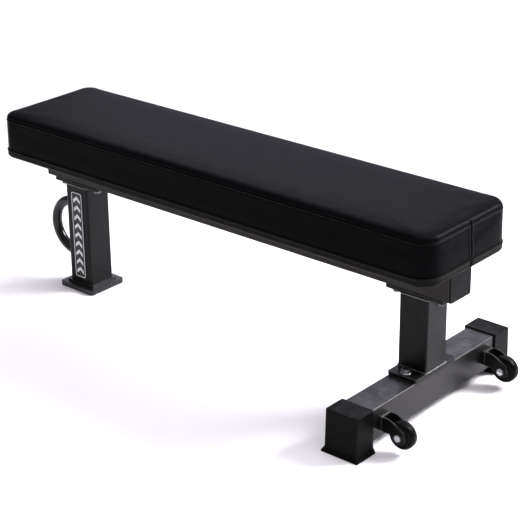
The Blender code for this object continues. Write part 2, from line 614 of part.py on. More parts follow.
def make_caster(side, sign):
    """One transport caster: block, fork, screw, axle bolt, sleeve, nut, and the rolling wheel."""
    y = sign * CASTER_Y
    middle_z = (BLOCK_TOP + BLOCK_BOTTOM) / 2
    block_x = CROSS_FACE_X + GAP + BLOCK_THICK / 2
    size = (BLOCK_THICK, FORK_OUTER_WIDTH, BLOCK_TOP - BLOCK_BOTTOM)
    mount = place(f"caster_block_{side}", block("caster_block", size), "black_paint", (block_x, y, middle_z))
    round_edges(mount, 0.001, segments=1)
    drill(mount, M6[0] + BOLT_HOLE_ROOM, DRILL_LENGTH, [(block_x, y, middle_z)], "X")

    upright = Matrix.Rotation(math.pi / 2, 4, "X")
    name = f"caster_fork_{side}"
    fork = place(name, extrusion(name, [fork_side_outline()], FORK_OUTER_WIDTH, upright), "black_paint",
                 (CASTER_AXLE_X, y, AXLE_Z))
    web_front = CROSS_FACE_X + GAP + BLOCK_THICK + GAP + FORK_SHEET
    slot = block(name + "_slot", (SLOT_LENGTH, FORK_OUTER_WIDTH - 2 * FORK_SHEET, SLOT_LENGTH))
    boolean(fork, hide_as_cutter(name + "_slot", slot, (web_front + SLOT_LENGTH / 2, y, AXLE_Z)))
    drill_name = name + "_bores"
    bores = round_bars(drill_name, AXLE_RADIUS + GAP, 2 * FORK_OUTER_WIDTH, [(CASTER_AXLE_X, y, AXLE_Z)], "Y")
    boolean(fork, hide_as_cutter(drill_name, bores))
    web_middle = web_front - FORK_SHEET / 2
    screw_hole = round_bars(name + "_screw", M6[0] + BOLT_HOLE_ROOM, FORK_SHEET * 2,
                            [(web_middle, y, middle_z)], "X")
    boolean(fork, hide_as_cutter(name + "_screw", screw_hole))

    lengthwise = Matrix.Rotation(math.pi / 2, 4, "Y")
    head = 0.0035
    screw_profile = [(0, head), (0.0030, head), (0.0048, head * 0.6), (0.0055, 0), (M6[0], 0),
                     (M6[0], -0.020), (0, -0.020)]
    screw = turned("caster_screw", screw_profile, segments=14, turn=lengthwise)
    place(f"caster_screw_{side}", screw, "dark_zinc", (web_front + GAP, y, middle_z), smooth=True)

    # the axle bolt's head is on the outer side, its nut on the side facing the post
    outward = Matrix.Rotation(-sign * math.pi / 2, 4, "X")
    arm_face = FORK_OUTER_WIDTH / 2 + GAP
    axle = bolt_mesh("axle_bolt", M8, 2 * arm_face + NUT_HEIGHT + 0.003)
    axle.transform(outward)
    place(f"axle_bolt_{side}", axle, "zinc", (CASTER_AXLE_X, y + sign * arm_face, AXLE_Z), smooth=True)
    nut = place(f"axle_nut_{side}", hex_prism("axle_nut", M8[1], NUT_HEIGHT, 0), "zinc",
                (CASTER_AXLE_X, y - sign * arm_face, AXLE_Z))
    nut.data.transform(Matrix.Rotation(sign * math.pi / 2, 4, "X"))
    nut_bore = f"axle_nut_{side}_bore"
    nut_middle_y = y - sign * (arm_face + NUT_HEIGHT / 2)
    bore_guide = round_bars(nut_bore, AXLE_RADIUS + GAP, DRILL_LENGTH,
                            [(CASTER_AXLE_X, nut_middle_y, AXLE_Z)], "Y")
    boolean(nut, hide_as_cutter(nut_bore, bore_guide))

    inside = FORK_OUTER_WIDTH / 2 - FORK_SHEET - GAP
    bore = AXLE_RADIUS + GAP
    sideways = Matrix.Rotation(math.pi / 2, 4, "X")
    sleeve_profile = [(SLEEVE_RADIUS, inside), (SLEEVE_RADIUS, -inside), (bore, -inside), (bore, inside)]
    sleeve = turned("axle_sleeve", sleeve_profile, closed=True, segments=20, turn=sideways)
    place(f"axle_sleeve_{side}", sleeve, "zinc", (CASTER_AXLE_X, y, AXLE_Z), smooth=True)

    hub_half = WHEEL_WIDTH / 2 + HUB_PROUD
    rim = TYRE_INNER_RADIUS - GAP
    hub_bore = SLEEVE_RADIUS + GAP
    hub_profile = [(0.0095, hub_half), (0.0105, hub_half - 0.0025), (0.0145, hub_half - 0.0025),
                   (0.0155, hub_half - 0.0012), (rim, hub_half - 0.0012)]
    mirrored = [(radius, -z) for radius, z in reversed(hub_profile)]
    hub_profile = hub_profile + mirrored + [(hub_bore, -hub_half), (hub_bore, hub_half)]
    hub = turned("wheel_hub", hub_profile, closed=True, segments=28, turn=sideways)
    place(f"wheel_hub_{side}", hub, "plastic", (CASTER_AXLE_X, y, AXLE_Z), smooth=True)

    half = WHEEL_WIDTH / 2
    shoulder = []
    for step in range(5):
        turn = math.pi / 2 * step / 4
        shoulder.append((WHEEL_RADIUS - TYRE_SHOULDER + TYRE_SHOULDER * math.sin(turn),
                         half - TYRE_SHOULDER + TYRE_SHOULDER * math.cos(turn)))
    lower = [(radius, -z) for radius, z in reversed(shoulder)]
    tyre_profile = shoulder + lower + [(TYRE_INNER_RADIUS, -half), (TYRE_INNER_RADIUS, half)]
    tyre = turned("wheel_tyre", tyre_profile, closed=True, segments=40, turn=sideways)
    place(f"wheel_tyre_{side}", tyre, "rubber", (CASTER_AXLE_X, y, AXLE_Z), smooth=True)


# ---------------------------------------------------------------- assembly

make_pad()
make_brackets()
make_backbone()
make_front_leg()
make_handle()
make_label()
make_rear_leg()
make_boots()
for side_name, side_sign in SIDES.items():
    make_caster(side_name, side_sign)
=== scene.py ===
# %% [markdown]
# # A flat weight bench
# The bench is a long upholstered pad on a square steel backbone, held up by two posts. The front
# post stands in a rubber foot and carries a bent bar to lift by. The rear post stands on a cross
# tube with a rubber boot on each end and two small wheels behind it. The measured model is loaded
# first and stays fixed. Every piece made below is placed from its boxes and rides on its bodies.

# %% Load the measured model
import json
import math

import bmesh
import bpy
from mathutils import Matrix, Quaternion, Vector, noise
from mathutils.bvhtree import BVHTree


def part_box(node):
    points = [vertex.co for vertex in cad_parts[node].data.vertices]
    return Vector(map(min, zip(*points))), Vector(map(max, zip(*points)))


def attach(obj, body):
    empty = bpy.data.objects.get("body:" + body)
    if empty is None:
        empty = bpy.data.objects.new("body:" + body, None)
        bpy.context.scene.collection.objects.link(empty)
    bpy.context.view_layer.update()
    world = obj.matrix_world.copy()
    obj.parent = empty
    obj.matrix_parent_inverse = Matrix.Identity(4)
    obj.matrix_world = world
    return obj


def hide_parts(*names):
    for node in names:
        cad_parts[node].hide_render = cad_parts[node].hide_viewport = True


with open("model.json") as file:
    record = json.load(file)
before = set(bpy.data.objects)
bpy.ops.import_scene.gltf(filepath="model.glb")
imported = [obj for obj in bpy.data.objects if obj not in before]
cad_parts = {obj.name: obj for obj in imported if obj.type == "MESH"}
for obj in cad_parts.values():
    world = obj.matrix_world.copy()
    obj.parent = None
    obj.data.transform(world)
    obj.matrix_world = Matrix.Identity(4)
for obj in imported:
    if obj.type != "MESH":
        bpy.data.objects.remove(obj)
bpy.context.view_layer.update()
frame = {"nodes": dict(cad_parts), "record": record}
NODES = frame["nodes"]

# %% [markdown]
# A long lens far away keeps the bench's edges almost parallel, as in a catalogue. The camera
# looks at a point near the middle of the bench. Its direction is an azimuth and an elevation,
# and a slight roll sets the bench level. The Standard view transform keeps the pale floor white
# and the blacks deep.

# %% Camera
AIM = Vector((0.0569, 0.0, 0.2092))
AZIMUTH, ELEVATION, ROLL = map(math.radians, (40.935, 23.506, -0.653))
DISTANCE = 3.513
LENS_MM = 112.1


def new_object(name, data):
    """An object in the scene."""
    made = bpy.data.objects.new(name, data)
    bpy.context.collection.objects.link(made)
    return made


to_camera = Vector((math.sin(AZIMUTH) * math.cos(ELEVATION),
                    -math.cos(AZIMUTH) * math.cos(ELEVATION),
                    math.sin(ELEVATION)))
camera = new_object("camera", bpy.data.cameras.new("camera"))
camera.data.lens = LENS_MM
camera.rotation_mode = "QUATERNION"
camera.location = AIM + to_camera * DISTANCE
camera.rotation_quaternion = (-to_camera).to_track_quat("-Z", "Y") @ Quaternion((0, 0, 1), ROLL)
bpy.context.scene.camera = camera
bpy.context.scene.view_settings.view_transform = "Standard"
print("camera at", [round(x, 3) for x in camera.location])

# %% [markdown]
# Black vinyl and black paint show almost nothing but reflections, so the lights decide how the
# bench reads. A very wide soft light above whitens the floor. A soft light behind the rear end,
# kept to a narrow beam, turns the faces that look that way to a mid grey and draws light lines
# along their edges. A weak, wide, bluish one at the back lies where upward faces mirror it. The
# near side gets no light of its own, so the long side stays dark.

# %% Floor, world and soft lights
LIGHT_TINT = (1.0, 0.955, 1.03)


def add_node(tree, kind, inputs=None, **settings):
    """Add a node. inputs gives, by name or number, a value or the socket to link from."""
    node = tree.nodes.new(kind)
    for name, value in settings.items():
        setattr(node, name, value)
    for key, value in (inputs or {}).items():
        if isinstance(value, bpy.types.NodeSocket):
            tree.links.new(value, node.inputs[key])
        else:
            node.inputs[key].default_value = value
    return node


def finish_mesh(shape, name):
    """The mesh of a bmesh, which is then freed."""
    mesh = bpy.data.meshes.new(name)
    shape.to_mesh(mesh)
    shape.free()
    return mesh


def soft_light(name, kind, place, energy):
    """A light of that kind that looks at the bench."""
    light = new_object(name, bpy.data.lights.new(name, kind))
    light.data.energy = energy
    light.data.color = LIGHT_TINT
    light.location = place
    light.rotation_euler = (AIM - light.location).to_track_quat("-Z", "Y").to_euler()
    light.visible_camera = False
    return light.data


soft_light("light_above", "SUN", (0.0, 0.2, 3.2), 2.5).angle = math.radians(70)
rear_light = soft_light("light_rear", "AREA", (1.9, 2.2, 2.3), 26)
rear_light.size, rear_light.spread = 1.5, math.radians(50)
back_light = soft_light("light_back", "AREA", (-2.2, 2.8, 1.9), 17)
back_light.size, back_light.color = 2.2, (0.84, 0.84, 1.08)

world = bpy.data.worlds.new("studio")
world.use_nodes = True
world.node_tree.nodes["Background"].inputs["Color"].default_value = (*LIGHT_TINT, 1)
world.node_tree.nodes["Background"].inputs["Strength"].default_value = 0.28
bpy.context.scene.world = world

FLOOR_SIZE = 40.0
floor_shape = bmesh.new()
bmesh.ops.create_grid(floor_shape, x_segments=1, y_segments=1, size=FLOOR_SIZE / 2)
floor = new_object("floor", finish_mesh(floor_shape, "floor"))
floor_paint = bpy.data.materials.new("floor_paint")
floor_paint.use_nodes = True
floor_shader = floor_paint.node_tree.nodes["Principled BSDF"]
floor_shader.inputs["Base Color"].default_value = (0.93, 0.93, 0.93, 1)
floor_shader.inputs["Roughness"].default_value = 0.9
floor.data.materials.append(floor_paint)

# %% [markdown]
# Several finishes share the same small effects, so each effect is built once as a shader node
# group and placed in a material with its own values. The first group finds the edges of a
# piece, where paint rubs thin; on the powder coat it also paints a highlight along the edges.
# The second gives a broad blotchy pattern and a fine one, for colour and roughness that are
# never quite even. The third finds the faces that look up: a little dust settles there, and on
# the cross tube it paints a sheen that stands in for the reflection on its top.

# %% Shared shader groups
def shader_group(name, inputs, outputs):
    """An empty shader node group: inputs is {name: default number}, outputs is {name: kind}."""
    group = bpy.data.node_groups.new(name, "ShaderNodeTree")
    for label, value in inputs.items():
        socket = group.interface.new_socket(label, in_out="INPUT", socket_type="NodeSocketFloat")
        socket.default_value = value
    for label, kind in outputs.items():
        group.interface.new_socket(label, in_out="OUTPUT", socket_type=kind)
    return group, group.nodes.new("NodeGroupInput"), group.nodes.new("NodeGroupOutput")


def arithmetic(tree, operation, first, second):
    """The result of one step on two sockets or numbers."""
    return add_node(tree, "ShaderNodeMath", {0: first, 1: second}, operation=operation).outputs[0]


def object_place(tree):
    """A point's place in metres, as a texture coordinate."""
    return add_node(tree, "ShaderNodeTexCoord").outputs["Object"]


def build_edge_group():
    """Mask of 1 on edges: where a normal rounded over Width turns away from the face's own."""
    group, inside, outside = shader_group(
        "edge_mask", {"Width": 0.0014}, {"Mask": "NodeSocketFloat"})
    shape = add_node(group, "ShaderNodeNewGeometry")
    rounded = add_node(group, "ShaderNodeBevel", {"Radius": inside.outputs["Width"]}, samples=6)
    likeness = add_node(group, "ShaderNodeVectorMath", {
        0: rounded.outputs["Normal"], 1: shape.outputs["Normal"]}, operation="DOT_PRODUCT")
    spread = add_node(group, "ShaderNodeMapRange", {
        "Value": likeness.outputs["Value"], "From Min": 0.99, "From Max": 0.85})
    group.links.new(spread.outputs["Result"], outside.inputs["Mask"])
    return group


def build_blotch_group():
    """Uneven patches. Patches and Specks are sizes in metres, Stretch draws them out along X."""
    group, inside, outside = shader_group(
        "blotches", {"Patches": 0.05, "Specks": 0.004, "Stretch": 1.0},
        {"Broad": "NodeSocketFloat", "Fine": "NodeSocketFloat"})
    squeeze = arithmetic(group, "DIVIDE", 1.0, inside.outputs["Stretch"])
    scale = add_node(group, "ShaderNodeCombineXYZ", {"X": squeeze, "Y": 1.0, "Z": 1.0})
    drawn = add_node(group, "ShaderNodeVectorMath",
                     {0: object_place(group), 1: scale.outputs[0]}, operation="MULTIPLY")
    for size, output, detail in (("Patches", "Broad", 3.0), ("Specks", "Fine", 5.0)):
        per_metre = arithmetic(group, "DIVIDE", 1.0, inside.outputs[size])
        clouds = add_node(group, "ShaderNodeTexNoise", {
            "Vector": drawn.outputs[0], "Scale": per_metre, "Detail": detail})
        group.links.new(clouds.outputs["Fac"], outside.inputs[output])
    return group


def build_dust_and_sheen_group():
    """Mask of 1 on upward faces, for settled dust and a painted sheen, thinned out by a fine noise.
    """
    group, inside, outside = shader_group(
        "upward_dust_and_sheen", {"Amount": 0.3}, {"Mask": "NodeSocketFloat"})
    shape = add_node(group, "ShaderNodeNewGeometry")
    up = add_node(group, "ShaderNodeSeparateXYZ", {0: shape.outputs["Normal"]})
    level = add_node(group, "ShaderNodeMapRange", {
        "Value": up.outputs["Z"], "From Min": 0.55, "From Max": 1.0})
    clouds = add_node(group, "ShaderNodeTexNoise", {
        "Vector": object_place(group), "Scale": 38.0, "Detail": 8.0, "Roughness": 0.7})
    thin = add_node(group, "ShaderNodeMapRange", {
        "Value": clouds.outputs["Fac"], "From Min": 0.40, "From Max": 0.75})
    both = arithmetic(group, "MULTIPLY", level.outputs[0], thin.outputs[0])
    share = arithmetic(group, "MULTIPLY", both, inside.outputs["Amount"])
    group.links.new(share, outside.inputs["Mask"])
    return group


EDGES, BLOTCHES, DUST_AND_SHEEN = build_edge_group(), build_blotch_group(), build_dust_and_sheen_group()
print("shared groups:", EDGES.name, BLOTCHES.name, DUST_AND_SHEEN.name)

# %% [markdown]
# Every finish starts from the same three moves: mix two tones with a mask, turn a mask into a
# band of roughness, and turn a height into a bump. With helpers for those, each material below
# reads as a short recipe.

# %% Helpers for the finishes
def new_finish(name, **constants):
    """A material with its Principled shader. constants are set on the shader's own sockets."""
    paint = bpy.data.materials.new(name)
    paint.use_nodes = True
    shader = paint.node_tree.nodes["Principled BSDF"]
    for label, value in constants.items():
        shader.inputs[label.replace("_", " ")].default_value = value
    return paint, paint.node_tree, shader


def placed_group(tree, group, **values):
    node = add_node(tree, "ShaderNodeGroup", node_tree=group)
    for label, value in values.items():
        node.inputs[label].default_value = value
    return node


def grey(level, warmth=0.0):
    """A near-grey colour. Positive warmth leans to brown, negative to blue."""
    return (level * (1 + warmth), level, level * (1 - warmth), 1.0)


def two_tone(tree, mask, first, second):
    mix = add_node(tree, "ShaderNodeMix", {"Factor": mask}, data_type="RGBA")
    for label, tone in (("A", first), ("B", second)):
        socket = next(s for s in mix.inputs if s.name == label and s.type == "RGBA")
        if isinstance(tone, bpy.types.NodeSocket):
            tree.links.new(tone, socket)
        else:
            socket.default_value = tone
    return next(s for s in mix.outputs if s.type == "RGBA")


def band(tree, mask, low, high):
    """The mask spread from low to high."""
    spread = add_node(tree, "ShaderNodeMapRange", {"Value": mask, "To Min": low, "To Max": high})
    return spread.outputs["Result"]


def bump(tree, height, depth, strength=1.0, under=None):
    """A bump of that depth in metres, on top of the bump that under gives."""
    inputs = {"Height": height, "Distance": depth, "Strength": strength}
    if under is not None:
        inputs["Normal"] = under
    return add_node(tree, "ShaderNodeBump", inputs).outputs["Normal"]


def connect(tree, shader, **sources):
    for label, source in sources.items():
        tree.links.new(source, shader.inputs[label.replace("_", " ")])


# %% [markdown]
# The cover is black upholstery vinyl. Its print is a leather grain of irregular cells about a
# millimetre across, which Voronoi cells give, with a finer noise inside them. Vinyl is glossy
# plastic under the grain, so its roughness stays in the middle and its reflection weak.

# %% Upholstery vinyl
def make_vinyl(name, tone, high_tone, grain_size, roughness):
    paint, tree, shader = new_finish(name, Specular_IOR_Level=0.018)
    place = object_place(tree)
    cells = add_node(tree, "ShaderNodeTexVoronoi", {
        "Vector": place, "Scale": 1 / grain_size, "Randomness": 0.9},
        feature="DISTANCE_TO_EDGE")
    pillow = add_node(tree, "ShaderNodeMapRange", {
        "Value": cells.outputs["Distance"], "From Max": 0.35}, interpolation_type="SMOOTHSTEP")
    pores = add_node(tree, "ShaderNodeTexNoise", {
        "Vector": place, "Scale": 3 / grain_size, "Detail": 3.0})
    patches = placed_group(tree, BLOTCHES, Patches=0.16, Specks=0.006)
    dust_and_sheen_node = placed_group(tree, DUST_AND_SHEEN, Amount=0.03)
    tones = two_tone(tree, band(tree, patches.outputs["Broad"], -0.3, 1.2), tone, high_tone)
    dust_and_sheen_toned = two_tone(tree, dust_and_sheen_node.outputs["Mask"], tones, grey(0.10))
    grain = bump(tree, pillow.outputs["Result"], grain_size * 0.12, 0.35)
    connect(tree, shader, Base_Color=dust_and_sheen_toned,
            Roughness=band(tree, patches.outputs["Fine"], roughness - 0.06, roughness + 0.08),
            Normal=bump(tree, pores.outputs["Fac"], grain_size * 0.05, 0.3, grain))
    return paint


VINYL = make_vinyl("black_vinyl", grey(0.0024, -0.12), grey(0.0036, -0.12), 0.0011, 0.36)
BAND_VINYL = make_vinyl("band_vinyl", grey(0.007, 0.08), grey(0.011, 0.06), 0.0011, 0.40)

# %% [markdown]
# The thread is bonded nylon, twisted from fine filaments. A slanted wave makes the twist. On a
# black cover the thread shows only by being a little duller and lighter than the vinyl.

# %% Thread
def make_thread():
    paint, tree, shader = new_finish("black_thread", Specular_IOR_Level=0.3, Sheen_Weight=0.3)
    place = object_place(tree)
    turned = add_node(tree, "ShaderNodeMapping", {
        "Vector": place, "Rotation": (0.0, math.radians(35), math.radians(40))})
    twist = add_node(tree, "ShaderNodeTexWave", {
        "Vector": turned.outputs[0], "Scale": 900.0, "Distortion": 1.0})
    connect(tree, shader, Base_Color=two_tone(tree, twist.outputs["Fac"], grey(0.012), grey(0.03)),
            Roughness=band(tree, twist.outputs["Fac"], 0.55, 0.75),
            Normal=bump(tree, twist.outputs["Fac"], 0.0002, 0.6))
    return paint


THREAD = make_thread()

# %% [markdown]
# The steel is powder coated in satin black. Powder melts into a skin with a faint orange peel,
# and it pulls thin on the edges, which look slightly lighter; the lighter edges are also a
# painted highlight where the rounded edges would catch the light. The backbone was wiped along
# its length, so its mottling is drawn out along X. The cross tube is the glossiest of the tubes,
# and its upward faces are painted lighter as a sheen that stands in for the reflection on its
# top. The handle is polished by hands.

# %% Powder coat
def make_powder_coat(name, tone, light_tone, gloss=0.08, stretch=1.0, roughness=0.30,
                     peel=0.00006, dust_and_sheen_amount=0.05):
    paint, tree, shader = new_finish(name, Specular_IOR_Level=gloss)
    patches = placed_group(tree, BLOTCHES, Patches=0.035, Specks=0.0022, Stretch=stretch)
    edges = placed_group(tree, EDGES, Width=0.0022)
    dust_and_sheen_node = placed_group(tree, DUST_AND_SHEEN, Amount=dust_and_sheen_amount)
    mottle = two_tone(tree, band(tree, patches.outputs["Broad"], -0.4, 1.3), tone, light_tone)
    # edges painted lighter: partly paint rubbed thin, partly a painted highlight along the rounded
    # edges
    edge_lightened = two_tone(tree, band(tree, edges.outputs["Mask"], 0.0, 0.5), mottle, grey(0.16, 0.02))
    # upward faces painted lighter: settled dust, and where the amount is large a painted sheen
    # standing in for a reflection
    dust_and_sheen_toned = two_tone(tree, dust_and_sheen_node.outputs["Mask"], edge_lightened, grey(0.16))
    connect(tree, shader, Base_Color=dust_and_sheen_toned,
            Roughness=band(tree, patches.outputs["Broad"], roughness - 0.10, roughness + 0.12),
            Normal=bump(tree, patches.outputs["Fine"], peel, 0.5))
    return paint


FRAME_PAINT = make_powder_coat("frame_paint", grey(0.0030, 0.02), grey(0.0065, 0.02), gloss=0.13)
# the cross tube's large amount paints a sheen on its top, standing in for the reflection of the
# bright surroundings
TUBE_PAINT = make_powder_coat("tube_paint", grey(0.004, 0.03), grey(0.010, 0.03), gloss=0.28,
                              dust_and_sheen_amount=0.4)
BACKBONE_PAINT = make_powder_coat("backbone_paint", grey(0.018, 0.08), grey(0.036, 0.08),
                                  gloss=0.10, stretch=5.0)
GLOSS_PAINT = make_powder_coat("handle_paint", grey(0.005), grey(0.008), gloss=0.35,
                               roughness=0.16)

# %% [markdown]
# Rubber boots come out of a mould that was blasted with grit, so they are matt and slightly
# grainy. Handling and the floor leave them greyer in patches. The front foot and the tyres are
# a harder, smoother rubber.

# %% Rubber and tyre
def make_rubber(name, tone, worn_tone, roughness, grit, gloss=0.05):
    paint, tree, shader = new_finish(name, Specular_IOR_Level=gloss)
    patches = placed_group(tree, BLOTCHES, Patches=0.03, Specks=0.0012)
    dust_and_sheen_node = placed_group(tree, DUST_AND_SHEEN, Amount=0.16)
    edges = placed_group(tree, EDGES, Width=0.0010)
    tones = two_tone(tree, band(tree, patches.outputs["Broad"], -0.3, 1.2), tone, worn_tone)
    scuffed = two_tone(tree, band(tree, edges.outputs["Mask"], 0.0, 0.5), tones, grey(0.05))
    dust_and_sheen_toned = two_tone(tree, dust_and_sheen_node.outputs["Mask"], scuffed, grey(0.12))
    connect(tree, shader, Base_Color=dust_and_sheen_toned,
            Roughness=band(tree, patches.outputs["Broad"], roughness - 0.06, roughness + 0.08),
            Normal=bump(tree, patches.outputs["Fine"], grit, 0.6))
    return paint


RUBBER = make_rubber("boot_rubber", grey(0.0018), grey(0.0042, 0.03), 0.42, 0.00008)
FOOT_RUBBER = make_rubber("foot_rubber", grey(0.008), grey(0.016, 0.03), 0.26, 0.00005, gloss=0.35)
TYRE_RUBBER = make_rubber("tyre_rubber", grey(0.0022), grey(0.004), 0.30, 0.00002)

# %% [markdown]
# The end caps and the wheels' hubs are moulded plastic with a fine spark-eroded texture.

# %% Moulded plastic
def make_plastic():
    paint, tree, shader = new_finish("moulded_plastic", Specular_IOR_Level=0.06)
    patches = placed_group(tree, BLOTCHES, Patches=0.02, Specks=0.0007)
    edges = placed_group(tree, EDGES, Width=0.0010)
    tones = two_tone(tree, patches.outputs["Broad"], grey(0.003), grey(0.005))
    edge_lightened = two_tone(tree, band(tree, edges.outputs["Mask"], 0.0, 0.25), tones, grey(0.05))
    connect(tree, shader, Base_Color=edge_lightened,
            Roughness=band(tree, patches.outputs["Fine"], 0.36, 0.52),
            Normal=bump(tree, patches.outputs["Fine"], 0.00008, 0.5))
    return paint


PLASTIC = make_plastic()

# %% [markdown]
# The bolts of the base plate and the wheels' axles are zinc plated: bright, slightly blue, with
# fine turning marks and a dull bloom where fingers have been. The other bolts are plated dark.
# The weld beads use the same recipe, because their thin paint lets the metal shine through.

# %% Plated steel
def make_plating(name, tone, bloom_tone, roughness):
    paint, tree, shader = new_finish(name, Metallic=1.0)
    place = object_place(tree)
    turning = add_node(tree, "ShaderNodeTexWave", {
        "Vector": place, "Scale": 700.0, "Distortion": 2.0, "Detail": 2.0},
        wave_type="BANDS", bands_direction="DIAGONAL")
    patches = placed_group(tree, BLOTCHES, Patches=0.006, Specks=0.0008)
    tones = two_tone(tree, band(tree, patches.outputs["Broad"], -0.5, 1.2), tone, bloom_tone)
    connect(tree, shader, Base_Color=tones,
            Roughness=band(tree, patches.outputs["Broad"], roughness - 0.08, roughness + 0.14),
            Normal=bump(tree, turning.outputs["Fac"], 0.00003, 0.3))
    return paint


ZINC = make_plating("zinc_plate", grey(0.72, -0.03), grey(0.50, -0.02), 0.26)
DARK_ZINC = make_plating("dark_plate", grey(0.16, 0.02), grey(0.08), 0.36)
WELD_PAINT = make_plating("weld_metal", grey(0.22, 0.02), grey(0.08, 0.03), 0.28)

# %% [markdown]
# The board in the pad is plywood: long fibres on its faces and a stack of thin layers on its
# edge. The cloth under it is a black nonwoven, fibres pressed in every direction.

# %% Plywood and dust cloth
def make_plywood():
    paint, tree, shader = new_finish("plywood", Specular_IOR_Level=0.3)
    place = object_place(tree)
    along = add_node(tree, "ShaderNodeMapping", {"Vector": place, "Scale": (3.0, 60.0, 60.0)})
    fibres = add_node(tree, "ShaderNodeTexNoise", {
        "Vector": along.outputs[0], "Scale": 6.0, "Detail": 8.0})
    layers = add_node(tree, "ShaderNodeTexWave", {"Vector": place, "Scale": 105.0},
                      wave_type="BANDS", bands_direction="Z")
    fibre_tone = two_tone(tree, fibres.outputs["Fac"], (0.30, 0.19, 0.10, 1), (0.50, 0.36, 0.21, 1))
    tone = two_tone(tree, band(tree, layers.outputs["Fac"], 0.0, 0.5), fibre_tone,
                    (0.22, 0.13, 0.07, 1))
    connect(tree, shader, Base_Color=tone, Roughness=band(tree, fibres.outputs["Fac"], 0.6, 0.85),
            Normal=bump(tree, fibres.outputs["Fac"], 0.0003, 0.4))
    return paint


def make_dust_cloth():
    paint, tree, shader = new_finish("dust_cloth", Specular_IOR_Level=0.15, Sheen_Weight=0.2)
    place = object_place(tree)
    fibres = add_node(tree, "ShaderNodeTexNoise", {
        "Vector": place, "Scale": 700.0, "Detail": 6.0, "Distortion": 1.5})
    spots = add_node(tree, "ShaderNodeTexVoronoi", {"Vector": place, "Scale": 400.0})
    tone = two_tone(tree, fibres.outputs["Fac"], grey(0.008), grey(0.035))
    connect(tree, shader, Base_Color=tone, Roughness=band(tree, fibres.outputs["Fac"], 0.8, 0.98),
            Normal=bump(tree, spots.outputs["Distance"], 0.0002, 0.5))
    return paint


PLYWOOD, DUST_CLOTH = make_plywood(), make_dust_cloth()

# %% [markdown]
# The label is a gloss black film. Its border and marks are a white print, a little uneven where
# the ink is thin.

# %% Label film and white ink
def make_print(name, tone, thin_tone, roughness):
    paint, tree, shader = new_finish(name, Specular_IOR_Level=0.4)
    patches = placed_group(tree, BLOTCHES, Patches=0.01, Specks=0.0015)
    inked = two_tone(tree, band(tree, patches.outputs["Fine"], -0.4, 0.9), tone, thin_tone)
    connect(tree, shader, Base_Color=inked,
            Roughness=band(tree, patches.outputs["Broad"], roughness - 0.05, roughness + 0.08),
            Normal=bump(tree, patches.outputs["Broad"], 0.00004, 0.4))
    return paint


LABEL_FILM = make_print("label_film", grey(0.006), grey(0.010), 0.25)
WHITE_INK = make_print("white_ink", grey(0.80), grey(0.62), 0.4)
print("finishes:", sorted(m.name for m in bpy.data.materials))

# %% [markdown]
# The pad is foam on a plywood board, pulled into a sewn cover. The cover has a top panel that
# rolls over the edge to a seam, a side wall, and a lower band that wraps under the board. A
# rounded outline seen from above, offset inwards ring by ring, makes every one of those parts
# from the same points. Its front corners are a little tighter than its rear ones. The outline
# starts in the middle of the rear end, where the side wall is sewn shut, and its points are
# closest there.

# %% The pad's outline from above
pad_low, pad_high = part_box("pad_cushion")
board_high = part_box("pad_board")[1]
PAD_MIDDLE = (pad_low + pad_high) / 2
PAD_CORNER = 0.040        # rounding of the rear corners
FRONT_CORNER = 0.030      # rounding of the front ones
SIDE_STEP = 0.0075        # distance between points on the long sides
CORNER_STEP = 0.004
END_STEP = 0.0016         # on the ends, fine enough for the sewn joint


def plan_outline(shrink=0.0):
    """(point, outward direction) round the pad, counterclockwise from the middle of its +X end."""
    half_x = (pad_high.x - pad_low.x) / 2 - shrink
    half_y = (pad_high.y - pad_low.y) / 2 - shrink
    points = []

    def straight(start, end, step):
        count = round((Vector(end) - Vector(start)).length / step)
        direction = (Vector(end) - Vector(start)).normalized()
        outward = Vector((direction.y, -direction.x, 0))
        points.extend((Vector(start).lerp(Vector(end), i / count), outward)
                      for i in range(count))

    def corner(sign_x, sign_y, rounding, from_degrees):
        radius = rounding - shrink
        middle = Vector((sign_x * (half_x - radius), sign_y * (half_y - radius), 0))
        count = round(PAD_CORNER * math.pi / 2 / CORNER_STEP)
        for i in range(count):
            turn = math.radians(from_degrees + 90 * i / count)
            outward = Vector((math.cos(turn), math.sin(turn), 0))
            points.append((middle + outward * radius, outward))

    rear_in, front_in = PAD_CORNER - shrink, FRONT_CORNER - shrink
    straight((half_x, 0, 0), (half_x, half_y - rear_in, 0), END_STEP)
    corner(1, 1, PAD_CORNER, 0)
    straight((half_x - rear_in, half_y, 0), (front_in - half_x, half_y, 0), SIDE_STEP)
    corner(-1, 1, FRONT_CORNER, 90)
    straight((-half_x, half_y - front_in, 0), (-half_x, front_in - half_y, 0), END_STEP * 2)
    corner(-1, -1, FRONT_CORNER, 180)
    straight((front_in - half_x, -half_y, 0), (half_x - rear_in, -half_y, 0), SIDE_STEP)
    corner(1, -1, PAD_CORNER, 270)
    straight((half_x, rear_in - half_y, 0), (half_x, 0, 0), END_STEP)
    return [(point + Vector((PAD_MIDDLE.x, 0, 0)), outward) for point, outward in points]


def spine_point(point):
    """The nearest point on the line along the middle of the pad, where the rings close."""
    reach = (pad_high.x - pad_low.x - (pad_high.y - pad_low.y)) / 2
    return Vector((min(max(point.x, PAD_MIDDLE.x - reach), PAD_MIDDLE.x + reach), 0, 0))


print("points round the pad:", len(plan_outline()))

# %% [markdown]
# A ring is given by how far in from the outline it lies and by its height. An offset has to stay
# under the corners' rounding, so rings further in head for a line along the middle instead. Two
# neighbouring rings are joined by four-sided faces. The first and last rings lie on that line,
# so merging doubles there closes the shell.

# %% Shell made of rings
RING_LIMIT = 0.025        # further in than this, rings head for the middle line


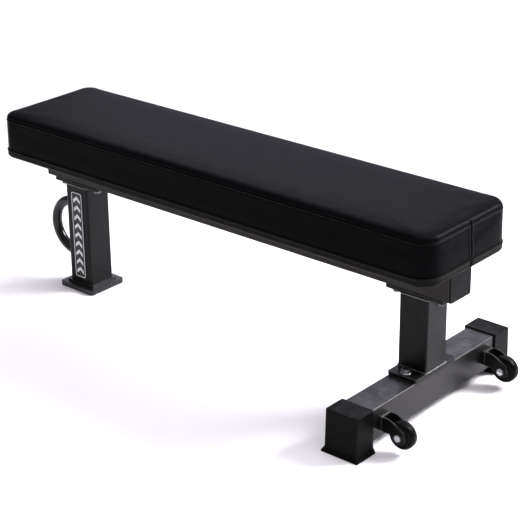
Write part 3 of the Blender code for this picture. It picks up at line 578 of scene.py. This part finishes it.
def ring_points(outline, inset, height):
    """The outline moved in by inset metres. Past RING_LIMIT, the rest is a share of the way in."""
    ring = []
    for point, outward in outline:
        if inset <= RING_LIMIT:
            place = point - outward * inset
        else:
            edge = point - outward * RING_LIMIT
            place = edge.lerp(spine_point(point), inset - RING_LIMIT)
        ring.append(Vector((place.x, place.y, height)))
    return ring


def join_rings(shape, rings, closed=False):
    """Four-sided faces between neighbouring rings, and from the last to the first if closed."""
    loops = [[shape.verts.new(point) for point in ring] for ring in rings]
    following = loops[1:] + loops[:1] if closed else loops[1:]
    for upper, lower in zip(loops, following):
        for i in range(len(upper)):
            j = (i + 1) % len(upper)
            shape.faces.new((upper[i], lower[i], lower[j], upper[j]))
    return loops


def shell_mesh(name, rings):
    """A closed mesh through rings of points, merged where the end rings fold together."""
    shape = bmesh.new()
    join_rings(shape, rings)
    bmesh.ops.remove_doubles(shape, verts=shape.verts, dist=1e-5)
    bmesh.ops.dissolve_degenerate(shape, dist=1e-6, edges=shape.edges)
    bmesh.ops.recalc_face_normals(shape, faces=shape.faces)
    return finish_mesh(shape, name)


def inner_shares(count):
    """Ring insets from just past RING_LIMIT to the middle line."""
    return [RING_LIMIT + (i + 1) / count for i in range(count)]


# %% [markdown]
# The foam starts a little smaller than the pad. Its surface is remeshed into even squares and
# simulated as cloth under a little pressure for twenty frames, with no gravity, while the part
# that lies on the board is held. It swells like foam inside a tight cover: most in the middle
# of each panel, least along the edges. How far a point may move is limited afterwards, because
# real foam gives much less than a balloon.

# %% Swell the foam
FOAM_ROOM = 0.0026        # the foam starts this far inside the finished pad
FOAM_EDGE = 0.012         # rounding of its upper edge
HELD_HEIGHT = 0.004       # the foam is held on the board up to this height above its underside
SWELL_CAP = 0.0040        # most that a point may move
GIVE = 0.35               # share of the swelling that the tight cover keeps
PLUMP = 0.0022            # how far the cover stands off the foam it is pulled over
VOXEL = 0.006
PRESSURE = 4.0
STIFFNESS = 60.0
LAST_FRAME = 20


def edge_arc(height, radius, from_degrees, to_degrees, count):
    """(inset, height, tilt in degrees) round an edge of that radius, centred at that height."""
    steps = []
    for i in range(count + 1):
        tilt = from_degrees + (to_degrees - from_degrees) * i / count
        turn = math.radians(tilt)
        steps.append((radius * (1 - math.cos(turn)), height + radius * math.sin(turn), tilt))
    return steps


def foam_mesh():
    outline = plan_outline(FOAM_ROOM)
    top, bottom = pad_high.z - FOAM_ROOM, pad_low.z
    section = [(share, top) for share in reversed(inner_shares(8))]
    section += edge_arc(top - FOAM_EDGE, FOAM_EDGE, 90, 0, 5)
    section += edge_arc(bottom + FOAM_EDGE / 2, FOAM_EDGE / 2, 0, -90, 3)
    section += [(share, bottom) for share in inner_shares(8)]
    return shell_mesh("foam", [ring_points(outline, *step[:2]) for step in section])


def evaluated_mesh(piece):
    """The piece's mesh with its modifiers applied."""
    bpy.context.view_layer.update()
    graph = bpy.context.evaluated_depsgraph_get()
    return bpy.data.meshes.new_from_object(piece.evaluated_get(graph), depsgraph=graph)


def swollen_surface():
    """Even mesh of the foam, swollen by cloth simulation, smoothed once and ready for ray casts."""
    foam = new_object("foam", foam_mesh())
    remesh = foam.modifiers.new("even", "REMESH")
    remesh.mode = "VOXEL"
    remesh.voxel_size = VOXEL
    foam.data = evaluated_mesh(foam)
    foam.modifiers.clear()
    rest = [vertex.co.copy() for vertex in foam.data.vertices]
    held = foam.vertex_groups.new(name="on_board")
    held.add([i for i, place in enumerate(rest) if place.z < pad_low.z + HELD_HEIGHT],
             1.0, "REPLACE")
    cloth = foam.modifiers.new("cover", "CLOTH")
    cloth.settings.vertex_group_mass = held.name
    cloth.settings.use_pressure = True
    cloth.settings.uniform_pressure_force = PRESSURE
    cloth.settings.effector_weights.gravity = 0.0
    cloth.settings.quality = 5
    cloth.settings.tension_stiffness = STIFFNESS
    cloth.settings.compression_stiffness = STIFFNESS
    cloth.settings.bending_stiffness = 4.0
    cloth.point_cache.frame_end = LAST_FRAME
    for number in range(1, LAST_FRAME + 1):
        bpy.context.scene.frame_set(number)
    swollen = evaluated_mesh(foam)
    foam.modifiers.clear()
    furthest = 0.0
    for vertex, start in zip(foam.data.vertices, rest):
        move = swollen.vertices[vertex.index].co - start
        furthest = max(furthest, move.length)
        share = math.tanh(move.length / SWELL_CAP)
        if move.length > 1e-7:
            vertex.co = start + move.normalized() * SWELL_CAP * share
    bpy.context.scene.frame_set(1)
    print("the cloth moved at most", round(furthest * 1000, 1), "mm before the limit")
    smooth = foam.modifiers.new("smooth", "SUBSURF")
    smooth.levels = smooth.render_levels = 1
    surface = evaluated_mesh(foam)
    bpy.data.objects.remove(foam)
    return BVHTree.FromPolygons([v.co.copy() for v in surface.vertices],
                                [tuple(p.vertices) for p in surface.polygons])


SWOLLEN = swollen_surface()

# %% [markdown]
# The cover follows the swollen foam. Its rings lie close together beside each seam, where the
# surface changes fast: the top panel's edge rolls in to the seam, a turned hem stands proud
# under it, and a row of stitches holds the hem down. The lower band bulges a little over the
# board's edge. In the middle of the rear end the side wall's two ends are sewn together, and
# the hems part there in a small notch. Near the corners the vinyl keeps a few faint wrinkles.

# %% The sewn cover
TOP_SEAM = pad_high.z - 0.0125
LOWER_SEAM = pad_low.z + 0.0190
HEM = 0.0048              # width of the turned hem under each seam
NEAR_SEAM = (-0.0080, -0.0055, -0.0035, -0.0022, -0.0013, -0.0006, 0.0,
             0.0006, 0.0013, 0.0022, 0.0035, 0.0055)
TOP_INSETS = (RING_LIMIT, 0.021, 0.017, 0.0135)
TOP_EDGE, BOTTOM_EDGE = 0.0095, 0.006
HEM_UNDER = 0.0062        # how far the cover turns in under the pad before the board
RAY_START, RAY_LENGTH = 0.018, 0.040
BOARD_GAP = 0.0004        # between the board and the cover over it

# each groove or ridge is (width, depth); a negative depth stands out
TOP_GROOVE, HEM_STITCH_DIP, HEM_RIDGE = (0.0011, 0.0020), (0.0013, 0.0009), (0.0020, -0.0009)
LOWER_GROOVE, LOWER_HEM_RIDGE = (0.0012, 0.0024), (0.0012, -0.0026)
JOINT_GROOVE, JOINT_HEM_RIDGE = (0.0022, 0.0014), (0.0028, -0.0007)
JOINT_HEM_Y = 0.0045      # middle of the joint's hem on each side
BAND_MIDDLE, BAND_HALF, BAND_BULGE = 0.0105, 0.0072, 0.0018
PARTING_MIDDLE, PARTING_REACH = 0.007, 0.011
WRINKLE_END_Y, WRINKLE_SIDE_X = 0.100, 0.545
WRINKLE_DEPTH = 0.0006


def hollow(distance, width, depth):
    """A smooth groove: -depth in the middle, fading over width."""
    return -depth * math.exp(-(distance / width) ** 2)


def wrinkle(place, outward):
    """Faint creases near the corners, running along the side."""
    if abs(outward.x) > 0.5:
        near_corner = math.exp(-((abs(place.y) - WRINKLE_END_Y) / 0.030) ** 2)
    else:
        near_corner = math.exp(-((abs(place.x - PAD_MIDDLE.x) - WRINKLE_SIDE_X) / 0.045) ** 2)
    crease = noise.noise(Vector((place.x * 9, place.y * 9, place.z * 75)))
    return WRINKLE_DEPTH * near_corner * crease


def seam_relief(place, outward):
    """How far the sewn side stands out (or in) at a point, on top of the swollen foam."""
    below_top, below_lower = TOP_SEAM - place.z, LOWER_SEAM - place.z
    relief = hollow(below_top, *TOP_GROOVE) + hollow(below_top - HEM, *HEM_STITCH_DIP)
    relief += hollow(below_top - HEM / 2, *HEM_RIDGE)
    relief += hollow(below_lower, *LOWER_GROOVE) + hollow(below_lower - HEM / 2, *LOWER_HEM_RIDGE)
    relief += BAND_BULGE * math.exp(-((below_lower - BAND_MIDDLE) / BAND_HALF) ** 4)
    if outward.x > 0.99:
        relief += hollow(place.y, *JOINT_GROOVE)
        relief += hollow(abs(place.y) - JOINT_HEM_Y, *JOINT_HEM_RIDGE)
        parting = max(0.0, 1 - abs(below_lower - PARTING_MIDDLE) / PARTING_REACH)
        relief += hollow(place.y, 0.0045, 0.0055 * parting)
        relief += hollow(place.y, 0.0050, 0.0030 * max(0.0, 1 - abs(below_top) / 0.006))
    if 0 < below_top < TOP_SEAM - LOWER_SEAM:
        relief += wrinkle(place, outward)
    return relief


def cover_section():
    """(inset, height, tilt in degrees, part) of every ring, from the top's middle to the board."""
    top, bottom = pad_high.z - FOAM_ROOM, pad_low.z
    rings = [(share, top, 90, "top") for share in reversed(inner_shares(18))]
    rings += [(inset, top, 90, "top") for inset in TOP_INSETS]
    rings += [(*step, "top") for step in edge_arc(top - TOP_EDGE, TOP_EDGE, 90, 0, 7)]
    heights = {round(TOP_SEAM - step, 5) for step in NEAR_SEAM}
    heights |= {round(TOP_SEAM - HEM - step, 5) for step in NEAR_SEAM if abs(step) < 0.004}
    heights |= {round(LOWER_SEAM - step, 5) for step in NEAR_SEAM}
    gap = TOP_SEAM - LOWER_SEAM
    heights |= {round(LOWER_SEAM + gap * share / 16, 5) for share in range(2, 14)}
    heights = [z for z in sorted(heights, reverse=True)
               if bottom + BOTTOM_EDGE < z < top - TOP_EDGE - 0.0003]
    rings += [(0.0, z, 0, "side") for z in heights]
    rings += [(*step, "side")
              for step in edge_arc(bottom + BOTTOM_EDGE, BOTTOM_EDGE, 0, -90, 5)]
    ceiling = board_high.z + BOARD_GAP
    rings += [(HEM_UNDER, bottom + step, 180, "pocket") for step in (0.0, 0.006, 0.012)]
    rings += [(HEM_UNDER, ceiling, 180, "pocket"), (0.020, ceiling, 180, "pocket")]
    rings += [(share, ceiling, 180, "pocket") for share in inner_shares(6)]
    return rings


def on_foam(place, direction):
    """The cover over a point of the foam: further out where the foam swells more."""
    hit = SWOLLEN.ray_cast(place - direction * RAY_START, direction, RAY_LENGTH)[0]
    swell = 0.0 if hit is None else (hit - place).dot(direction)
    return place + direction * (FOAM_ROOM + PLUMP - (SWELL_CAP - swell) * GIVE)


def cover_ring(inset, height, tilt, part):
    if part == "pocket":
        return ring_points(plan_outline(), inset, height)
    outline = plan_outline(FOAM_ROOM)
    ring, turn = [], math.radians(tilt)
    for place, (_, outward) in zip(ring_points(outline, inset, height), outline):
        direction = outward * math.cos(turn) + Vector((0, 0, math.sin(turn)))
        surface = on_foam(place, direction)
        if tilt < 45:
            surface += outward * seam_relief(surface, outward) * math.cos(turn)
        surface.z = max(surface.z, pad_low.z)
        ring.append(surface)
    return ring


COVER_SECTION = cover_section()
COVER_RINGS = [cover_ring(*step) for step in COVER_SECTION]
cover_mesh = shell_mesh("pad_cover", COVER_RINGS)
for face in cover_mesh.polygons:
    face.use_smooth = True
    face.material_index = int(face.center.z < LOWER_SEAM - 0.0006)
pad_cover = new_object("pad_cover", cover_mesh)
pad_cover.data.materials.append(VINYL)
pad_cover.data.materials.append(BAND_VINYL)
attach(pad_cover, "bench_frame")
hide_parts("pad_cushion")
print("cover:", len(COVER_RINGS), "rings,", len(cover_mesh.polygons), "faces, height",
      round(max(v.co.z for v in cover_mesh.vertices), 4))

# %% [markdown]
# Stitches, staples, weld ripples and printed marks all repeat along a path, so one Geometry
# Nodes tree makes them. It turns a path of edges into a curve, puts points along it at an even
# pitch, and sets a small shape on each point, turned to follow the path and a little random in
# size. Its named inputs give the pitch, the shape's size along and across the path, how uneven
# it is, and the finish.

# %% Tree that sets small shapes along a path
def along_path_tree():
    tree = bpy.data.node_groups.new("shapes_along_path", "GeometryNodeTree")
    for label, kind in (("Path", "Geometry"), ("Shape", "Object"), ("Pitch", "Float"),
                        ("Size", "Vector"), ("Unevenness", "Float"), ("Seed", "Int"),
                        ("Finish", "Material")):
        tree.interface.new_socket(label, in_out="INPUT", socket_type="NodeSocket" + kind)
    tree.interface.new_socket("Pieces", in_out="OUTPUT", socket_type="NodeSocketGeometry")
    inside, outside = tree.nodes.new("NodeGroupInput"), tree.nodes.new("NodeGroupOutput")
    curve = add_node(tree, "GeometryNodeMeshToCurve", {"Mesh": inside.outputs["Path"]})
    points = add_node(tree, "GeometryNodeCurveToPoints", {
        "Curve": curve.outputs[0], "Length": inside.outputs["Pitch"]}, mode="LENGTH")
    shape = add_node(tree, "GeometryNodeObjectInfo", {"Object": inside.outputs["Shape"]})
    least = arithmetic(tree, "SUBTRACT", 1.0, inside.outputs["Unevenness"])
    most = arithmetic(tree, "ADD", 1.0, inside.outputs["Unevenness"])
    vary = add_node(tree, "FunctionNodeRandomValue", {
        "Min": least, "Max": most, "Seed": inside.outputs["Seed"]})
    vary_size = next(s for s in vary.outputs if s.enabled)
    size = add_node(tree, "ShaderNodeVectorMath", {
        0: inside.outputs["Size"], "Scale": vary_size}, operation="SCALE")
    placed = add_node(tree, "GeometryNodeInstanceOnPoints", {
        "Points": points.outputs["Points"], "Instance": shape.outputs["Geometry"],
        "Rotation": points.outputs["Rotation"], "Scale": size.outputs[0]})
    real = add_node(tree, "GeometryNodeRealizeInstances", {"Geometry": placed.outputs[0]})
    painted = add_node(tree, "GeometryNodeSetMaterial", {
        "Geometry": real.outputs[0], "Material": inside.outputs["Finish"]})
    tree.links.new(painted.outputs[0], outside.inputs["Pieces"])
    return tree


ALONG_PATH = along_path_tree()


def path_mesh(name, paths, closed):
    """A mesh of edges only, through each list of points in turn."""
    points, edges = [], []
    for path in paths:
        first = len(points)
        points.extend(path)
        edges.extend((first + i, first + i + 1) for i in range(len(path) - 1))
        if closed:
            edges.append((len(points) - 1, first))
    mesh = bpy.data.meshes.new(name)
    mesh.from_pydata([tuple(point) for point in points], edges, [])
    return mesh


def unit_shape(name, build, smooth=True):
    """A small shape about 1 across, kept out of the scene for the tree to repeat."""
    shape = bmesh.new()
    build(shape)
    mesh = finish_mesh(shape, name)
    mesh.polygons.foreach_set("use_smooth", [smooth] * len(mesh.polygons))
    return bpy.data.objects.new(name, mesh)


def set_along(name, paths, shape, pitch, size, finish,
              body="bench_frame", closed=False, unevenness=0.0, seed=1):
    """One plain mesh of the shape repeated along the paths. size is (across, across, along)."""
    piece = new_object(name, path_mesh(name, paths, closed))
    modifier = piece.modifiers.new("along", "NODES")
    modifier.node_group = ALONG_PATH
    values = {"Shape": shape, "Pitch": pitch, "Size": size, "Unevenness": unevenness,
              "Seed": seed, "Finish": finish}
    for item in ALONG_PATH.interface.items_tree:
        if item.in_out == "INPUT" and item.name in values:
            modifier[item.identifier] = values[item.name]
    piece.data = evaluated_mesh(piece)
    piece.modifiers.clear()
    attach(piece, body)
    print(name, len(piece.data.polygons), "faces")
    return piece


BEAN = unit_shape("bean", lambda shape: bmesh.ops.create_uvsphere(
    shape, u_segments=8, v_segments=5, radius=0.5))

# %% [markdown]
# Two rows of stitches run right round the pad: one holds the hem under the top seam, the other
# the hem under the lower seam. Two short rows run down beside the joint at the rear end. The
# rows are the cover's own rings, so the thread lies exactly on the vinyl.

# %% Stitches of the cover
STITCH_PITCH = 0.0044
STITCH_SIZE = (0.0007, 0.0007, 0.0034)
THREAD_PROUD = 0.0002
LOWER_ROW = 0.0035        # the lower row runs this far under the lower seam


def row_at(height):
    """The cover's ring nearest that height, a hair outside the vinyl."""
    sides = [i for i, step in enumerate(COVER_SECTION) if step[3] == "side"]
    nearest = min(sides, key=lambda i: abs(COVER_SECTION[i][1] - height))
    outward = [direction for _, direction in plan_outline()]
    return [point + way * THREAD_PROUD for point, way in zip(COVER_RINGS[nearest], outward)]


rows = [row_at(TOP_SEAM - HEM), row_at(LOWER_SEAM - LOWER_ROW)]
set_along("seam_stitches", rows, BEAN, STITCH_PITCH, STITCH_SIZE, THREAD,
          closed=True, unevenness=0.06)

JOINT_ROW_Y = 0.0048      # the joint's rows lie this far to each side
wall_rings = [ring for step, ring in zip(COVER_SECTION, COVER_RINGS)
              if step[3] == "side" and LOWER_SEAM + 0.004 < step[1] < TOP_SEAM - HEM - 0.002]
offset = round(JOINT_ROW_Y / END_STEP)
joint_rows = [[ring[place] + Vector((THREAD_PROUD, 0, 0)) for ring in wall_rings]
              for place in (offset, -offset)]
set_along("joint_stitches", joint_rows, BEAN, STITCH_PITCH, STITCH_SIZE, THREAD,
          unevenness=0.06, seed=2)

# %% [markdown]
# Under the pad the dust cloth is stapled to the board all round. Staples are short bars of
# bright wire, about 10 mm long and 30 mm apart.

# %% Staples under the pad
STAPLE_PITCH = 0.030
STAPLE_SIZE = (0.0011, 0.0007, 0.010)
cloth_low, cloth_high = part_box("pad_dust_cover")
STAPLE_INSET = pad_high.y - cloth_high.y + 0.006    # 6 mm in from the cloth's edge
staple_line = ring_points(plan_outline(), STAPLE_INSET, cloth_low.z)
set_along("staples", [staple_line], BEAN, STAPLE_PITCH, STAPLE_SIZE, ZINC,
          closed=True, unevenness=0.03, seed=3)

# %% [markdown]
# The frame is welded by hand. A weld bead is a row of overlapping ripples, one for each dip of
# the wire, so it is the same bean shape set close together, wider than it is long. Beads run
# round both ends of the rear post, round the top of the front post, round the handle's ends and
# under the brackets that carry the pad.

# %% Weld beads
BEAD_PITCH = 0.0021
BEAD_SIZE = (0.0048, 0.0040, 0.0040)
POST_CORNER = 0.004
BEAD_BELOW_TOP, BEAD_ABOVE_PLATE = 0.0006, 0.0008


def rounded_plan(half_width, half_height, radius, steps):
    """(across, up) round a rectangle with rounded corners, counterclockwise."""
    points = []
    for sign_x, sign_z, start in ((1, 1, 0), (-1, 1, 90), (-1, -1, 180), (1, -1, 270)):
        for i in range(steps + 1):
            turn = math.radians(start + 90 * i / steps)
            points.append((sign_x * (half_width - radius) + radius * math.cos(turn),
                           sign_z * (half_height - radius) + radius * math.sin(turn)))
    return points


def post_loop(name, height):
    """Points round a post's outside at that height."""
    low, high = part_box(name)
    middle = (low + high) / 2
    plan = rounded_plan((high.x - low.x) / 2, (high.y - low.y) / 2, POST_CORNER, steps=4)
    return [Vector((middle.x + x, middle.y + y, height)) for x, y in plan]


def bead(name, paths, seed, closed=True, size=BEAD_SIZE):
    set_along(name, paths, BEAN, BEAD_PITCH, size, WELD_PAINT,
              closed=closed, unevenness=0.13, seed=seed)


for number, post in enumerate(("front_post", "rear_post")):
    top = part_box(post)[1].z - BEAD_BELOW_TOP
    bead(f"weld_{post}_top", [post_loop(post, top)], seed=10 + number,
         size=(0.0050, 0.0046, 0.0040))
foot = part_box("rear_base_plate")[1].z + BEAD_ABOVE_PLATE
bead("weld_rear_post_foot", [post_loop("rear_post", foot)], seed=12)

bracket_lines = []
for end in ("front", "rear"):
    for side, sign in (("left", 1), ("right", -1)):
        low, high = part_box(f"pad_bracket_{end}_{side}")
        inner_y = sign * min(abs(low.y), abs(high.y))
        bracket_lines.append([Vector((low.x, inner_y, low.z)), Vector((high.x, inner_y, low.z))])
bead("weld_brackets", bracket_lines, seed=13, closed=False, size=(0.0050, 0.0050, 0.0044))

# %% [markdown]
# The carry handle is a round bar bent to most of a circle, its ends welded flat to the front
# post. Its shape follows a rule, a circle swept along an arc, so rings of points are worked out
# and joined, finely enough that the bar's outline stays smooth.

# %% Carry handle
HANDLE_BAR = 0.024
handle_low, handle_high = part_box("carry_handle")
HANDLE_BEND = (handle_high.z - handle_low.z - HANDLE_BAR) / 2
HANDLE_MIDDLE = Vector((handle_low.x + HANDLE_BAR / 2 + HANDLE_BEND, 0,
                        (handle_low.z + handle_high.z) / 2))
HANDLE_STEPS, BAR_STEPS = 88, 28


def smooth_mesh(shape, name, sharp_degrees):
    """The mesh facing outwards, smooth except at edges sharper than that."""
    bmesh.ops.recalc_face_normals(shape, faces=shape.faces)
    mesh = finish_mesh(shape, name)
    mesh.polygons.foreach_set("use_smooth", [True] * len(mesh.polygons))
    mesh.set_sharp_from_angle(angle=math.radians(sharp_degrees))
    return mesh


def tube_mesh(name, rings):
    """A mesh through rings of points, closed by a face at each end."""
    shape = bmesh.new()
    loops = join_rings(shape, rings)
    shape.faces.new(loops[0])
    shape.faces.new(loops[-1])
    return smooth_mesh(shape, name, 40)


def finished_piece(name, mesh, finish, slot_name, body, *nodes):
    """A piece with its finish and body, which stands for the measured nodes named; slot_name is not
    used.
    """
    piece = new_object(name, mesh)
    mesh.materials.append(finish)
    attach(piece, body)
    if nodes:
        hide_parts(*nodes)
    return piece


def handle_ring(turn, bar=HANDLE_BAR):
    """Points round the bar at one place of the bend, kept in front of the post's face."""
    radial = Vector((-math.cos(turn), 0, math.sin(turn)))
    ring = []
    for i in range(BAR_STEPS):
        angle = 2 * math.pi * i / BAR_STEPS
        point = HANDLE_MIDDLE + radial * (HANDLE_BEND + bar / 2 * math.cos(angle))
        point += Vector((0, bar / 2 * math.sin(angle), 0))
        point.x = min(point.x, handle_high.x)
        ring.append(point)
    return ring


# the bend ends where the bar's middle reaches the post's face
HANDLE_REACH = math.acos(-(handle_high.x - HANDLE_MIDDLE.x) / HANDLE_BEND)
handle_turns = [HANDLE_REACH * (2 * i / HANDLE_STEPS - 1) for i in range(HANDLE_STEPS + 1)]
handle_mesh = tube_mesh("handle_bar", [handle_ring(turn) for turn in handle_turns])
finished_piece("handle_bar", handle_mesh, GLOSS_PAINT, "black_paint", "bench_frame", "carry_handle")
bead("weld_handle", [handle_ring(sign * HANDLE_REACH, HANDLE_BAR + 0.001) for sign in (-1, 1)],
     seed=14, size=(0.0052, 0.0046, 0.0044))
print("handle bend radius", round(HANDLE_BEND, 4), "faces", len(handle_mesh.polygons))

# %% [markdown]
# Each wheel is a plastic hub with a rubber tyre, both turned shapes: a section spun round the
# axle. The tyre has rounded shoulders and a thin mould line in the middle of its tread. The hub
# has a raised ring round the axle, a dished web and a lip against the tyre.

# %% Wheels
WHEEL_STEPS = 96
TYRE_INNER, SHOULDER = 0.0175, 0.0070
MOULD_LINE = 0.0002       # how far the mould line stands off the tread
WEB, LIP = 0.0033, 0.0014  # how far the hub's web and its lip lie in from its side
HUB_GAP = 0.0002          # between hub and tyre
BORE_GAP = 0.0003         # between hub and sleeve


def turned_piece(section, middle):
    """A closed section of (radius, offset along the axle) spun round the axle, as a mesh."""
    shape = bmesh.new()
    rings = []
    for i in range(WHEEL_STEPS):
        turn = 2 * math.pi * i / WHEEL_STEPS
        rings.append([middle + Vector((radius * math.cos(turn), across, radius * math.sin(turn)))
                      for radius, across in section])
    join_rings(shape, rings, closed=True)
    return smooth_mesh(shape, "turned", 35)


def mirrored_section(half_section):
    """The half section on the +Y side, followed by its mirror image."""
    return half_section + [(radius, -across) for radius, across in reversed(half_section)]


def tyre_section(inner, outer, half_width):
    """A bead against the hub, a flat side, a rounded shoulder and half of the tread."""
    tread = outer - MOULD_LINE
    half = [(inner, half_width - 0.0006), (inner + 0.0010, half_width),
            (inner + 0.0024, half_width), (inner + 0.0029, half_width - 0.0004),
            (inner + 0.0034, half_width)]
    for i in range(9):
        turn = math.pi / 2 * i / 8
        half.append((tread - SHOULDER + SHOULDER * math.sin(turn),
                     half_width - SHOULDER + SHOULDER * math.cos(turn)))
    half += [(tread, 0.0006), (outer, 0.0003)]
    return mirrored_section(half)


def hub_section(bore, rim, half_width):
    """A raised ring round the bore, a dished web and a lip at the rim."""
    half = [(bore, 0.0), (bore + 0.0034, 0.0), (bore + 0.0040, 0.0006), (bore + 0.0044, 0.0028),
            (bore + 0.0050, WEB), (rim - 0.0036, WEB), (rim - 0.0030, 0.0028),
            (rim - 0.0024, 0.0016), (rim - 0.0018, 0.0012), (rim, LIP)]
    return mirrored_section([(radius, half_width - depth) for radius, depth in half])


for side in ("left", "right"):
    body = f"wheel_{side}"
    tyre_low, tyre_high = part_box(f"wheel_tyre_{side}")
    hub_low, hub_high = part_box(f"wheel_hub_{side}")
    sleeve_low, sleeve_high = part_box(f"axle_sleeve_{side}")
    axle = (tyre_low + tyre_high) / 2
    tyre = turned_piece(tyre_section(TYRE_INNER, (tyre_high.z - tyre_low.z) / 2,
                                     (tyre_high.y - tyre_low.y) / 2), axle)
    hub = turned_piece(hub_section((sleeve_high.z - sleeve_low.z) / 2 + BORE_GAP,
                                   TYRE_INNER - HUB_GAP, (hub_high.y - hub_low.y) / 2), axle)
    finished_piece(f"tyre_{side}", tyre, TYRE_RUBBER, "tyre", body, f"wheel_tyre_{side}")
    finished_piece(f"hub_{side}", hub, PLASTIC, "plastic", body, f"wheel_hub_{side}")
    print(body, "tyre faces", len(tyre.polygons), "hub faces", len(hub.polygons))

# %% [markdown]
# The label is a black film with a white printed border and a column of bold arrow marks. Ink
# has almost no thickness, so the border and marks are thin raised shapes on the film. The marks
# are one chevron repeated up the label by the same tree.

# %% Printed label
label_low, label_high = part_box("side_label")
LABEL_MIDDLE = (label_low + label_high) / 2
INK = 0.00025             # how far the print stands off the film
BORDER_INSET, BORDER_LINE, BORDER_CORNER = 0.0025, 0.0016, 0.005
MARK_PITCH, MARK_SIZE, MARK_MARGIN = 0.0205, 0.0215, 0.020


def border_mesh():
    """A flat rounded frame with a little thickness, facing -Y."""
    half_width = (label_high.x - label_low.x) / 2 - BORDER_INSET
    half_height = (label_high.z - label_low.z) / 2 - BORDER_INSET
    outer = rounded_plan(half_width, half_height, BORDER_CORNER, steps=8)
    inner = rounded_plan(half_width - BORDER_LINE, half_height - BORDER_LINE,
                         BORDER_CORNER - 0.75 * BORDER_LINE, steps=8)
    back, front = label_low.y + 0.00005, label_low.y - INK
    loops = [(inner, back), (outer, back), (outer, front), (inner, front)]
    shape = bmesh.new()
    join_rings(shape, [[(LABEL_MIDDLE.x + x, y, LABEL_MIDDLE.z + z) for x, z in plan]
                       for plan, y in loops], closed=True)
    bmesh.ops.recalc_face_normals(shape, faces=shape.faces)
    return finish_mesh(shape, "label_border")


def chevron(shape):
    """A thick arrow head about 1 across, pointing along +Z and thin along Y."""
    outline = [(-0.5, -0.42), (0.0, 0.02), (0.5, -0.42), (0.5, -0.02), (0.0, 0.42), (-0.5, -0.02)]
    for y in (-0.5, 0.5):
        for half in (outline[:2] + outline[4:], outline[1:5]):
            shape.faces.new([shape.verts.new((x, y, z)) for x, z in half])
    for (x0, z0), (x1, z1) in zip(outline, outline[1:] + outline[:1]):
        shape.faces.new([shape.verts.new(corner) for corner in
                         ((x0, -0.5, z0), (x0, 0.5, z0), (x1, 0.5, z1), (x1, -0.5, z1))])
    bmesh.ops.remove_doubles(shape, verts=shape.verts, dist=1e-5)
    bmesh.ops.recalc_face_normals(shape, faces=shape.faces)


finished_piece("label_border", border_mesh(), WHITE_INK, "label", "bench_frame")
CHEVRON = unit_shape("chevron", chevron, smooth=False)
mark_span = (label_high.z - label_low.z) / 2 - MARK_MARGIN
mark_line = [Vector((LABEL_MIDDLE.x, label_low.y, LABEL_MIDDLE.z + end * mark_span))
             for end in (-1, 1)]
set_along("label_marks", [mark_line], CHEVRON, MARK_PITCH, (MARK_SIZE, 2 * INK, MARK_SIZE),
          WHITE_INK, seed=4)

# %% [markdown]
# The measured model already has the right shape for the tubes, plates, bolts, boots and forks,
# so those pieces stay and only get their finish. Each of the record's material slots names one
# finish, and a few pieces get a finish of their own.

# %% Finishes of the measured pieces
SLOT_FINISH = {
    "vinyl": VINYL, "plywood": PLYWOOD, "dust_cloth": DUST_CLOTH, "black_paint": FRAME_PAINT,
    "rubber": RUBBER, "tyre": TYRE_RUBBER, "plastic": PLASTIC, "zinc": ZINC,
    "dark_zinc": DARK_ZINC, "label": LABEL_FILM,
}
OWN_FINISH = {"backbone_tube": BACKBONE_PAINT, "cross_tube": TUBE_PAINT,
              "front_foot_boot": FOOT_RUBBER}
NODE_SLOT = {part["node"]: part["material_slot"] for part in frame["record"]["subparts"]}
for name, node in NODES.items():
    node.data.materials.clear()
    node.data.materials.append(OWN_FINISH.get(name, SLOT_FINISH[NODE_SLOT[name]]))
print("measured pieces painted:", len(NODES))
